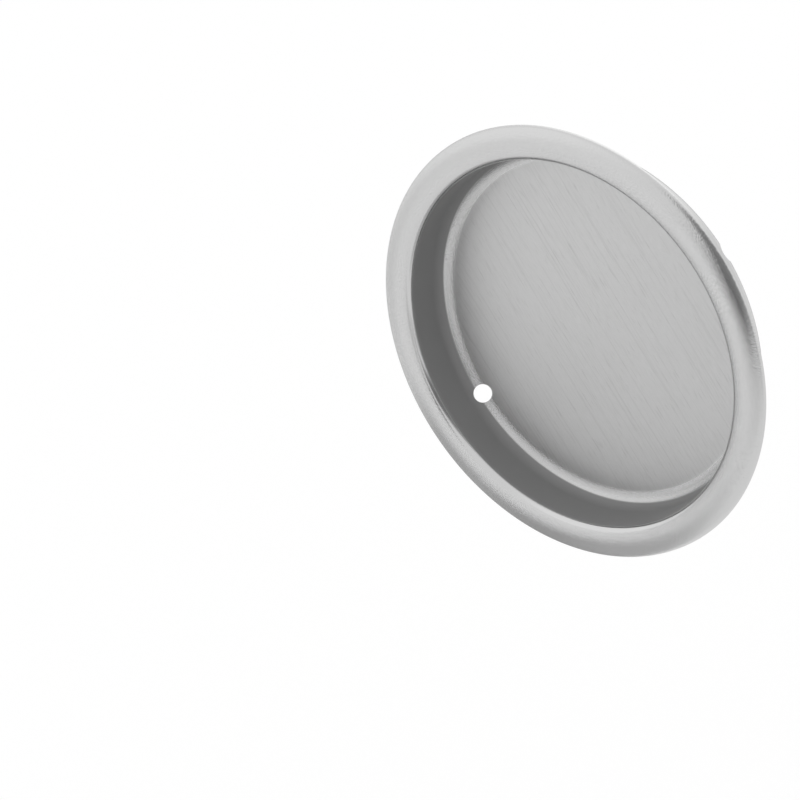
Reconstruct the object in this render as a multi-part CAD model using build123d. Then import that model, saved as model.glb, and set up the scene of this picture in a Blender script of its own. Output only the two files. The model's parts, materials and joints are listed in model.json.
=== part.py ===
"""Round cup pull for a sliding door: one disc of sheet metal, drawn into a shallow cup with a rolled rim.

Millimetres. The origin is the centre of the rim's seat on the door face.
+Z is up, +Y goes into the door, and the open front of the cup faces -Y.
"""
import os
from math import cos, radians, sin

from build123d import *

# Overall sizes
RIM_DIAMETER = 54.0      # outside of the rolled rim
MOUTH_DIAMETER = 45.8    # inside of the cup
CUP_DEPTH = 6.4          # from the door face to the back of the cup's floor
SHEET = 0.8              # thickness of the sheet, the same all the way along the section

# Bends, each as the radius on the inside of its bend
CORNER_BEND = 2.0        # cup floor to cup wall
LIP_BEND = 0.3           # cup wall to rim
ROLL_BEND = 0.1          # rim to its cut edge on the door

# Rim, one domed arc from the lip to the rolled edge
DOME_INNER_FALL = 19.0   # slope of the dome where it meets the lip, in degrees
DOME_OUTER_FALL = 28.0   # slope of the dome where it meets the rolled edge, in degrees

# Nail holes, punched through the corner of the cup at the two ends of one line across it
NAIL_HOLE_DIAMETER = 2.3
NAIL_UPPER_RISE = 0.15   # from the floor's face, along the line of the wall, to the axis of the upper hole
NAIL_LOWER_RISE = -0.7   # the same for the lower hole, which sits deeper in the corner
NAIL_LEAN = 45.0         # lean of each hole out from the axis of the cup, in degrees
NAIL_LINE = 42.0         # rise of that line above the horizontal, seen from the front, in degrees

# Radii of the bends on the face that shows
lip_radius = LIP_BEND + SHEET
roll_radius = ROLL_BEND + SHEET

# Depth of the cup's floor on the same face
floor_depth = CUP_DEPTH - SHEET

# The dome is one arc, over the width that the lip and the rolled edge leave between them
rim_width = (RIM_DIAMETER - MOUTH_DIAMETER) / 2
inner_sine = sin(radians(DOME_INNER_FALL))
outer_sine = sin(radians(DOME_OUTER_FALL))
dome_width = rim_width - lip_radius * (1 - inner_sine) - roll_radius * (1 - outer_sine)
dome_radius = dome_width / (inner_sine + outer_sine)

# Section of the sheet: the face that shows, drawn from the cut edge in to the axis, then thickened
with BuildSketch(Plane.XY) as section:
    with BuildLine():
        roll = JernArc((RIM_DIAMETER / 2, 0), (0, -1), roll_radius, DOME_OUTER_FALL - 90)
        dome = JernArc(roll @ 1, roll % 1, dome_radius, -DOME_OUTER_FALL - DOME_INNER_FALL)
        lip = JernArc(dome @ 1, dome % 1, lip_radius, DOME_INNER_FALL - 90)
        wall = Line(lip @ 1, (MOUTH_DIAMETER / 2, floor_depth - CORNER_BEND))
        corner = JernArc(wall @ 1, wall % 1, CORNER_BEND, 90)
        floor = Line(corner @ 1, (0, floor_depth))
        offset(amount=SHEET, side=Side.RIGHT)
    make_face()

# The drawn cup, with its nail holes
pull_cup = revolve(section.sketch, Axis.Y)
nail_direction = Vector(sin(radians(NAIL_LEAN)), cos(radians(NAIL_LEAN)))
drill_reach = CORNER_BEND + SHEET + NAIL_HOLE_DIAMETER
for rise, turn in ((NAIL_UPPER_RISE, NAIL_LINE), (NAIL_LOWER_RISE, NAIL_LINE + 180)):
    at_wall = Plane(origin=(MOUTH_DIAMETER / 2, floor_depth - rise), z_dir=nail_direction)
    drill = at_wall * Cylinder(NAIL_HOLE_DIAMETER / 2, 2 * drill_reach)
    pull_cup -= drill.rotate(Axis.Y, -turn)

os.makedirs("parts", exist_ok=True)
export_step(pull_cup, "parts/pull_cup.step")
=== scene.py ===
"""Looks of the round cup pull: brushed satin nickel in a white studio.

Soft cards, light and dark, stand around the pull for the metal to reflect.
Metres, in the part's own frame: +Z is up, +Y goes into the door, and the open front of the cup faces -Y.
"""

import json
import math
from typing import NamedTuple

import bmesh
import bpy
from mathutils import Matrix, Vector


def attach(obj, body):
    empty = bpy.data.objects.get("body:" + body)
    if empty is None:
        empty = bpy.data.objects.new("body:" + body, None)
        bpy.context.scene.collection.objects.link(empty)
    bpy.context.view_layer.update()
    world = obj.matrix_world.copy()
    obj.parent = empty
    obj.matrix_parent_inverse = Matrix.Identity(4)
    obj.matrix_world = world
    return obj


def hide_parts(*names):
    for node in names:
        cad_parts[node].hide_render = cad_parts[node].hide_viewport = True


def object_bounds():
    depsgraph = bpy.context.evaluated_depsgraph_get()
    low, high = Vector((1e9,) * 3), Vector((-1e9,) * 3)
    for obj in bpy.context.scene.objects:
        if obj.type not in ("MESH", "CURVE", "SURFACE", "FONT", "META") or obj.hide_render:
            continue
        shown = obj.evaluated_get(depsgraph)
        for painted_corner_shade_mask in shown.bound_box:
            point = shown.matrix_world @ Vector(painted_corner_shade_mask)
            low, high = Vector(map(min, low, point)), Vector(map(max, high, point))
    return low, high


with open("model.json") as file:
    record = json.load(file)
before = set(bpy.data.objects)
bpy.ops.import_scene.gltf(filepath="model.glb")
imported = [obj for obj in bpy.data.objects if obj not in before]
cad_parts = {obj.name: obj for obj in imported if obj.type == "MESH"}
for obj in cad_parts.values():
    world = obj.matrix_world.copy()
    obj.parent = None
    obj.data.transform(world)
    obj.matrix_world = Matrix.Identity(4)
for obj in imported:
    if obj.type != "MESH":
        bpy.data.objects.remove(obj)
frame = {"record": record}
cad_low, cad_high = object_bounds()

MM = 0.001

# Sizes of the sheet, as the part has them
MOUTH_RADIUS = 22.9 * MM
SHEET = 0.8 * MM
CORNER_BEND = 2.0 * MM
LIP_BEND = 0.3 * MM
ROLL_BEND = 0.1 * MM
DOME_INNER_FALL = 19.0
DOME_OUTER_FALL = 28.0

# Sizes that follow from the frame and the sheet
RIM_RADIUS = cad_high.x
CUP_DEPTH = cad_high.y
CUP_FLOOR_RADIUS = MOUTH_RADIUS - CORNER_BEND
WALL_MIDDLE_RADIUS = MOUTH_RADIUS + SHEET / 2

# Fineness of the mesh
TURNS = 360              # faces around the axis
BEND_STEP = 5.0          # degrees of bend to one row of faces
GUARD = 0.15 * MM        # width of the row that keeps a flat face flat beside a bend
HOLE_SIDES = 96
DRILL_REACH = 3.0        # length of a drill against that of its hole
SHARP_ANGLE = 25.0       # degrees between faces from which their edge is sharp

# Where the finish and the painted shade change, as depths into the door and widths of the change
WALL_FRONT = -0.4 * MM
WALL_BACK = 5.0 * MM
OUTSIDE_FRONT = 0.3 * MM
WALL_EDGE = 0.1 * MM     # half the width of the change at the wall
FLOOR_EDGE = 0.4 * MM
# The corner's painted shade fades in across this width
CORNER_EDGE = 0.8 * MM

# Brushing, straight lines that fall to the right, seen from the front
BRUSH_ANGLE = -48.0
BRUSH_SPREAD = 0.6       # anisotropy, which spreads reflections across the brushing
FLOOR_RELIEF = 0.04 * MM
RIM_RELIEF = 0.042 * MM

# Tones, with shades as shares of the nickel's tone, then roughness and share of metal; the wall's tone and
# the corner's shade are painted shade
NICKEL_TONE = 0.58
# The wall's tone is painted shade inside the cup, about half the nickel's tone
WALL_PAINTED_SHADE_TONE = 0.288
# Painted shade in the corner between the cup's floor and its wall
CORNER_PAINTED_SHADE = 0.87
GRAIN_SHADES = (0.95, 1.05)
LINE_SHADES = (1.015, 0.93)
SCRATCH_SHADES = (1.0, 0.88)
FLOOR_ROUGHNESS = 0.4
RIM_ROUGHNESS = 0.18
WALL_ROUGHNESS = 0.7
WALL_METAL = 0.5

# Camera, from the photograph
CAMERA_DISTANCE = 0.340
CAMERA_AZIMUTH = 34.93
CAMERA_ELEVATION = 28.93
CAMERA_PAN = 38.70
CAMERA_TILT = 30.05
CAMERA_CLIP = 0.01
LENS = 131.54
SENSOR = 36.0

# Studio
FLOOR_HEIGHT = -0.15
FLOOR_RADIUS = 6.0
FLOOR_SIDES = 96
PAPER_TONE = 0.5         # in the light that the floor throws on matt surfaces
CARD_RINGS = 24
CARD_SIDES = 48


class Card(NamedTuple):
    """A round card: even within its core, fading out to its edge. Its angles are in degrees."""

    azimuth: float
    elevation: float
    core: float
    edge: float
    level: float
    distance: float


CARDS = {
    "dark_front": Card(38, 11, 8, 18, 0.15, 0.06),
    "dark_camera": Card(55, 26, 10, 25, 0.2, 0.06),
    "dark_right": Card(80, 38, 15, 34, 0.3, 0.06),
    "dusk_front": Card(28, -14, 6, 20, 0.72, 0.23),
    "dusk_middle": Card(56, -7, 5, 18, 0.72, 0.22),
    "dusk_right": Card(84, -3, 5, 18, 0.72, 0.21),
    "key": Card(-62, 30, 26, 48, 1.16, 0.25),
    "key_front": Card(-31, -12, 8, 30, 1.07, 0.24),
    "dark_far": Card(14, 5, 4, 14, 0.25, 0.25),
    "grey_left": Card(-68, -24, 10, 26, 0.86, 0.25),
    "back": Card(170, 5, 30, 60, 1.1, 0.25),
    "back_above": Card(-165, 42, 15, 40, 1.5, 0.24),
    "dark_behind": Card(-145, -29, 18, 38, 0.25, 0.2),
    "below_left": Card(-75, -54, 8, 28, 0.56, 0.044),
    "below_middle": Card(-36, -75, 8, 28, 0.48, 0.042),
    "below_right": Card(32, -70, 8, 26, 0.6, 0.039),
    "below_back": Card(-140, -75, 8, 26, 0.45, 0.0435),
}


class Section:
    """A line of points along the section, as (radius, depth), drawn by runs and bends."""

    def __init__(self, start, heading):
        self.points = [start]
        self.heading = math.radians(heading)

    def run(self, length):
        """Go straight on, with a short row of faces at each end."""
        radius, depth = self.points[-1]
        for stop in (GUARD, length - GUARD, length):
            self.points.append((
                radius + stop * math.cos(self.heading),
                depth + stop * math.sin(self.heading),
            ))

    def bend(self, bend_radius, turn):
        """Follow an arc. A turn above zero goes from +radius towards +depth."""
        radius, depth = self.points[-1]
        side = math.copysign(1, turn)
        middle = (
            radius - side * bend_radius * math.sin(self.heading),
            depth + side * bend_radius * math.cos(self.heading),
        )
        steps = max(2, round(abs(turn) / BEND_STEP))
        for step in range(1, steps + 1):
            angle = self.heading + math.radians(turn) * step / steps
            self.points.append((
                middle[0] + side * bend_radius * math.sin(angle),
                middle[1] - side * bend_radius * math.cos(angle),
            ))
        self.heading += math.radians(turn)


def sheet_face(inset):
    """Points of one face of the sheet, from its cut edge to the axis.

    The inset is 0 for the front face and SHEET for the back one.
    """
    lip_radius = LIP_BEND + SHEET
    roll_radius = ROLL_BEND + SHEET
    inner_sine = math.sin(math.radians(DOME_INNER_FALL))
    outer_sine = math.sin(math.radians(DOME_OUTER_FALL))
    dome_width = RIM_RADIUS - MOUTH_RADIUS - lip_radius * (1 - inner_sine) - roll_radius * (1 - outer_sine)
    dome_radius = dome_width / (inner_sine + outer_sine)

    face = Section((RIM_RADIUS - inset, 0.0), -90)
    face.bend(roll_radius - inset, DOME_OUTER_FALL - 90)
    face.bend(dome_radius - inset, -DOME_OUTER_FALL - DOME_INNER_FALL)
    face.bend(lip_radius - inset, DOME_INNER_FALL - 90)
    corner_radius = CORNER_BEND + inset
    face.run(CUP_DEPTH - SHEET + inset - corner_radius - face.points[-1][1])
    face.bend(corner_radius, 90)
    face.run(CUP_FLOOR_RADIUS)
    return face.points


def finished(mesh, name):
    """Mesh data made from a bmesh, which is freed."""
    data = bpy.data.meshes.new(name)
    mesh.to_mesh(data)
    mesh.free()
    return data


def revolve(outline, name):
    """A closed mesh made by turning an outline, which starts and ends on the axis, about Y."""
    mesh = bmesh.new()
    rows = []
    for radius, depth in outline:
        if radius < GUARD / 2:
            rows.append([mesh.verts.new((0, depth, 0))] * TURNS)
            continue
        angles = [2 * math.pi * turn / TURNS for turn in range(TURNS)]
        rows.append([mesh.verts.new((radius * math.cos(a), depth, radius * math.sin(a))) for a in angles])
    for row, after in zip(rows, rows[1:]):
        for here in range(TURNS):
            beside = (here + 1) % TURNS
            corners = (row[here], after[here], after[beside], row[beside])
            mesh.faces.new(dict.fromkeys(corners))
    bmesh.ops.recalc_face_normals(mesh, faces=mesh.faces)
    return finished(mesh, name)


def add(name, data):
    """Put a mesh or a camera in the scene as an object."""
    piece = bpy.data.objects.new(name, data)
    bpy.context.scene.collection.objects.link(piece)
    return piece


def nail_drill(mount):
    """A cutter for one nail hole, on the axis of its mount."""
    radius = mount["dims"]["r_mm"] * MM
    length = DRILL_REACH * mount["dims"]["length_mm"] * MM
    mesh = bmesh.new()
    bmesh.ops.create_cone(
        mesh, cap_ends=True, segments=HOLE_SIDES, radius1=radius, radius2=radius, depth=length
    )
    name = "drill_" + mount["name"]
    drill = add(name, finished(mesh, name))
    drill.location = mount["pos_m"]
    drill.rotation_mode = "QUATERNION"
    drill.rotation_quaternion = Vector(mount["axis"]).to_track_quat("Z", "Y")
    return drill


def make_cup():
    """The drawn cup with its nail holes, as one fine mesh."""
    outline = sheet_face(0.0)[::-1] + sheet_face(SHEET)
    cup = add("cup", revolve(outline, "cup"))
    drills = [nail_drill(mount) for mount in frame["record"]["mounts"] if mount["kind"] == "bore"]
    for drill in drills:
        cut = cup.modifiers.new(drill.name, "BOOLEAN")
        cut.object = drill
        cut.solver = "EXACT"
    depsgraph = bpy.context.evaluated_depsgraph_get()
    cut_mesh = bpy.data.meshes.new_from_object(cup.evaluated_get(depsgraph))
    cup.modifiers.clear()
    cup.data = cut_mesh
    for drill in drills:
        bpy.data.objects.remove(drill)
    cut_mesh.shade_smooth()
    cut_mesh.set_sharp_from_angle(angle=math.radians(SHARP_ANGLE))
    return cup


class Nodes:
    """Short forms for building the node tree of a material."""

    def __init__(self, material):
        material.use_nodes = True
        self.tree = material.node_tree
        self.shader = self.tree.nodes["Principled BSDF"]
        self.surface = self.tree.nodes["Material Output"].inputs["Surface"]

    def add(self, kind, **settings):
        node = self.tree.nodes.new(kind)
        for name, value in settings.items():
            setattr(node, name, value)
        return node

    def set(self, socket, value):
        """Link a socket to another, or give it a value."""
        if isinstance(value, bpy.types.NodeSocket):
            self.tree.links.new(value, socket)
        else:
            socket.default_value = value

    def math(self, operation, first, *others):
        """Work through the values from left to right."""
        for other in others:
            node = self.add("ShaderNodeMath", operation=operation)
            self.set(node.inputs[0], first)
            self.set(node.inputs[1], other)
            first = node.outputs[0]
        return first

    def product(self, *values):
        return self.math("MULTIPLY", *values)

    def largest(self, *values):
        return self.math("MAXIMUM", *values)

    def ramp(self, value, low, high, start=0.0, end=1.0):
        """Go smoothly from start to end, as value goes from low to high."""
        node = self.add("ShaderNodeMapRange", interpolation_type="SMOOTHSTEP")
        for socket, setting in zip(node.inputs, (value, low, high, start, end)):
            self.set(socket, setting)
        return node.outputs[0]

    def step(self, value, limit, side=1):
        """Go from 0 to 1 as value passes a limit, or back down where the side is -1."""
        return self.ramp(value, limit - side * WALL_EDGE, limit + side * WALL_EDGE)

    def mix(self, share, first, second):
        """Go from the first value to the second as the share goes from 0 to 1."""
        node = self.add("ShaderNodeMapRange")
        for socket, setting in zip(node.inputs, (share, 0.0, 1.0, first, second)):
            self.set(socket, setting)
        return node.outputs[0]

    def along(self, vector, way):
        """How far a vector goes along a fixed one."""
        node = self.add("ShaderNodeVectorMath", operation="DOT_PRODUCT")
        self.set(node.inputs[0], vector)
        node.inputs[1].default_value = way
        return node.outputs["Value"]

    def radius_and_depth(self, place):
        """Distance of a place from the axis of the cup, and how far it is into the door."""
        split = self.add("ShaderNodeSeparateXYZ")
        self.set(split.inputs[0], place)
        flat = self.add("ShaderNodeCombineXYZ")
        self.set(flat.inputs["X"], split.outputs["X"])
        self.set(flat.inputs["Z"], split.outputs["Z"])
        length = self.add("ShaderNodeVectorMath", operation="LENGTH")
        self.set(length.inputs[0], flat.outputs[0])
        return length.outputs["Value"], split.outputs["Y"]

    def streaks(self, along, across, stretch, scale):
        """Noise drawn out into streaks: the stretch is the width of a streak against its length."""
        place = self.add("ShaderNodeCombineXYZ")
        self.set(place.inputs["X"], self.product(along, stretch))
        self.set(place.inputs["Y"], across)
        self.set(place.inputs["Z"], scale * MM)
        node = self.add("ShaderNodeTexNoise")
        self.set(node.inputs["Vector"], place.outputs[0])
        self.set(node.inputs["Scale"], scale)
        return node.outputs["Fac"]


def satin_nickel():
    """Nickel plate with a fine straight brushing, and a smooth wall in the cup, made darker by painted
    shade; the corner at the cup's floor has a little painted shade too.
    """
    material = bpy.data.materials.new("satin_nickel")
    nodes = Nodes(material)
    metal = nodes.shader
    place = nodes.add("ShaderNodeTexCoord").outputs["Object"]
    radius, depth = nodes.radius_and_depth(place)

    # Streaks along the brushing: an even grain, long faint lines, short scratches, and the grain of the rim
    slant = math.radians(BRUSH_ANGLE)
    across_way = Vector((-math.sin(slant), 0, math.cos(slant)))
    along = nodes.along(place, Vector((math.cos(slant), 0, math.sin(slant))))
    across = nodes.along(place, across_way)
    grain = nodes.streaks(along, across, stretch=0.12, scale=7000)
    lines = nodes.ramp(nodes.streaks(along, across, stretch=0.015, scale=3400), low=0.5, high=0.75)
    scratches = nodes.ramp(nodes.streaks(along, across, stretch=0.07, scale=5200), low=0.6, high=0.72)
    rim_grain = nodes.streaks(along, across, stretch=0.35, scale=9500)

    # Where the wall is, smooth and darkened by painted shade, and what else is smooth: the outside of the
    # cup and the lip
    wall_finish_and_painted_shade = nodes.product(
        nodes.step(depth, WALL_FRONT),
        nodes.step(depth, WALL_BACK, -1),
        nodes.step(radius, MOUTH_RADIUS - CORNER_BEND / 2),
        nodes.step(radius, WALL_MIDDLE_RADIUS, -1),
    )
    outside = nodes.product(nodes.step(radius, WALL_MIDDLE_RADIUS), nodes.step(depth, OUTSIDE_FRONT))
    lip = nodes.product(
        nodes.ramp(radius, MOUTH_RADIUS + LIP_BEND, MOUTH_RADIUS + SHEET, 1.0, 0.0),
        nodes.step(depth, 0.0, -1),
    )
    smooth = nodes.largest(wall_finish_and_painted_shade, outside, lip)

    # Tone: the streaks show on the floor, and the corner around it is a little darker, which is painted
    # shade
    off_floor = nodes.ramp(radius, CUP_FLOOR_RADIUS, CUP_FLOOR_RADIUS + FLOOR_EDGE)
    painted_corner_shade_mask = nodes.product(
        nodes.ramp(radius, CUP_FLOOR_RADIUS, CUP_FLOOR_RADIUS + CORNER_EDGE),
        nodes.step(depth, OUTSIDE_FRONT),
    )
    floor_shade = nodes.product(
        nodes.mix(grain, *GRAIN_SHADES),
        nodes.mix(lines, *LINE_SHADES),
        nodes.mix(scratches, *SCRATCH_SHADES),
    )
    # The floor's streaks, with the painted shade of the corner beyond the floor
    grain_and_painted_shade = nodes.mix(off_floor, floor_shade, nodes.mix(painted_corner_shade_mask, 1.0, CORNER_PAINTED_SHADE))
    # The wall takes its darker tone here: painted shade inside the cup
    tone_with_painted_shade = nodes.mix(wall_finish_and_painted_shade, nodes.product(grain_and_painted_shade, NICKEL_TONE), WALL_PAINTED_SHADE_TONE)
    grey = nodes.add("ShaderNodeCombineColor")
    for channel in grey.inputs:
        nodes.set(channel, tone_with_painted_shade)

    # Relief of the brushing, as a height in metres
    bump = nodes.add("ShaderNodeBump")
    bump.inputs["Distance"].default_value = 1.0
    nodes.set(bump.inputs["Strength"], nodes.mix(smooth, 1.0, 0.0))
    relief = nodes.mix(off_floor, nodes.product(grain, FLOOR_RELIEF), nodes.product(rim_grain, RIM_RELIEF))
    nodes.set(bump.inputs["Height"], relief)

    nodes.set(metal.inputs["Base Color"], grey.outputs[0])
    nodes.set(metal.inputs["Metallic"], nodes.mix(wall_finish_and_painted_shade, 1.0, WALL_METAL))
    brushed_roughness = nodes.mix(off_floor, FLOOR_ROUGHNESS, RIM_ROUGHNESS)
    nodes.set(metal.inputs["Roughness"], nodes.mix(wall_finish_and_painted_shade, brushed_roughness, WALL_ROUGHNESS))
    nodes.set(metal.inputs["Anisotropic"], nodes.mix(wall_finish_and_painted_shade, BRUSH_SPREAD, 0.0))
    spread = nodes.add("ShaderNodeCombineXYZ")
    for socket, part in zip(spread.inputs, across_way):
        socket.default_value = part
    nodes.set(metal.inputs["Tangent"], spread.outputs[0])
    nodes.set(metal.inputs["Normal"], bump.outputs[0])
    return material


def direction(azimuth, elevation):
    """Unit vector from the object. Azimuth 0 is the front, -Y, and 90 is the right, +X."""
    a, e = math.radians(azimuth), math.radians(elevation)
    return Vector((math.sin(a) * math.cos(e), -math.cos(a) * math.cos(e), math.sin(e)))


def white_paper():
    """Paper that is white, with its shadows, to the camera, metal and glass, and grey to all the rest."""
    material = bpy.data.materials.new("white_paper")
    nodes = Nodes(material)
    nodes.shader.inputs["Base Color"].default_value = (PAPER_TONE, PAPER_TONE, PAPER_TONE, 1)
    white = nodes.add("ShaderNodeBsdfDiffuse")
    white.inputs["Color"].default_value = (1, 1, 1, 1)
    path = nodes.add("ShaderNodeLightPath")
    rays = ("Is Camera Ray", "Is Glossy Ray", "Is Transmission Ray")
    mix = nodes.add("ShaderNodeMixShader")
    nodes.set(mix.inputs[0], nodes.largest(*(path.outputs[ray] for ray in rays)))
    nodes.set(mix.inputs[1], nodes.shader.outputs[0])
    nodes.set(mix.inputs[2], white.outputs[0])
    nodes.set(nodes.surface, mix.outputs[0])
    return material


def make_studio():
    """A paper floor under a white sky."""
    world = bpy.data.worlds.new("studio")
    world.use_nodes = True
    sky = world.node_tree.nodes["Background"]
    sky.inputs["Color"].default_value = (1, 1, 1, 1)
    sky.inputs["Strength"].default_value = 1.0
    bpy.context.scene.world = world

    mesh = bmesh.new()
    bmesh.ops.create_circle(mesh, cap_ends=True, segments=FLOOR_SIDES, radius=FLOOR_RADIUS)
    floor = add("floor", finished(mesh, "floor"))
    floor.location.z = FLOOR_HEIGHT
    floor.data.materials.append(white_paper())


def card_mesh(name, spec):
    """A round piece of a sphere around the object. Its attribute fade is 1 in the core and 0 at the edge."""
    middle = direction(spec.azimuth, spec.elevation)
    across = middle.orthogonal().normalized()
    up = middle.cross(across)
    mesh = bmesh.new()
    fade = mesh.verts.layers.float.new("fade")
    rows = []
    for ring in range(CARD_RINGS + 1):
        angle = spec.edge * ring / CARD_RINGS
        strength = min(1.0, (spec.edge - angle) / (spec.edge - spec.core))
        strength = strength * strength * (3 - 2 * strength)
        ahead = middle * math.cos(math.radians(angle))
        row = []
        for side in range(CARD_SIDES if ring else 1):
            turn = 2 * math.pi * side / CARD_SIDES
            outward = across * math.cos(turn) + up * math.sin(turn)
            vert = mesh.verts.new((ahead + outward * math.sin(math.radians(angle))) * spec.distance)
            vert[fade] = strength
            row.append(vert)
        rows.append(row if ring else row * CARD_SIDES)
    for row, after in zip(rows, rows[1:]):
        for side in range(CARD_SIDES):
            beside = (side + 1) % CARD_SIDES
            mesh.faces.new(dict.fromkeys((row[side], after[side], after[beside], row[beside])))
    return finished(mesh, name)


def soft_card(name, spec):
    """A card that only metal sees."""
    card = add(name, card_mesh(name, spec))
    for ray in ("camera", "diffuse", "transmission", "volume_scatter", "shadow"):
        setattr(card, "visible_" + ray, False)

    material = bpy.data.materials.new(name)
    nodes = Nodes(material)
    material.cycles.emission_sampling = "NONE"
    shine = nodes.add("ShaderNodeEmission")
    shine.inputs["Strength"].default_value = spec.level
    mix = nodes.add("ShaderNodeMixShader")
    nodes.set(mix.inputs[0], nodes.add("ShaderNodeAttribute", attribute_name="fade").outputs["Fac"])
    nodes.set(mix.inputs[1], nodes.add("ShaderNodeBsdfTransparent").outputs[0])
    nodes.set(mix.inputs[2], shine.outputs[0])
    nodes.set(nodes.surface, mix.outputs[0])
    card.data.materials.append(material)


def make_camera():
    """The photograph's camera."""
    data = bpy.data.cameras.new("camera")
    data.lens = LENS
    data.sensor_width = SENSOR
    data.clip_start = CAMERA_CLIP
    camera = add("camera", data)
    camera.location = direction(CAMERA_AZIMUTH, CAMERA_ELEVATION) * CAMERA_DISTANCE
    camera.rotation_euler = (math.radians(90 - CAMERA_TILT), 0, math.radians(CAMERA_PAN))
    bpy.context.scene.camera = camera


cup = make_cup()
cup.data.materials.clear()
cup.data.materials.append(satin_nickel())
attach(cup, "root")
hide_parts("pull_cup")

make_studio()
for card_name, card_spec in CARDS.items():
    soft_card(card_name, card_spec)
make_camera()
bpy.context.scene.view_settings.view_transform = "Standard"
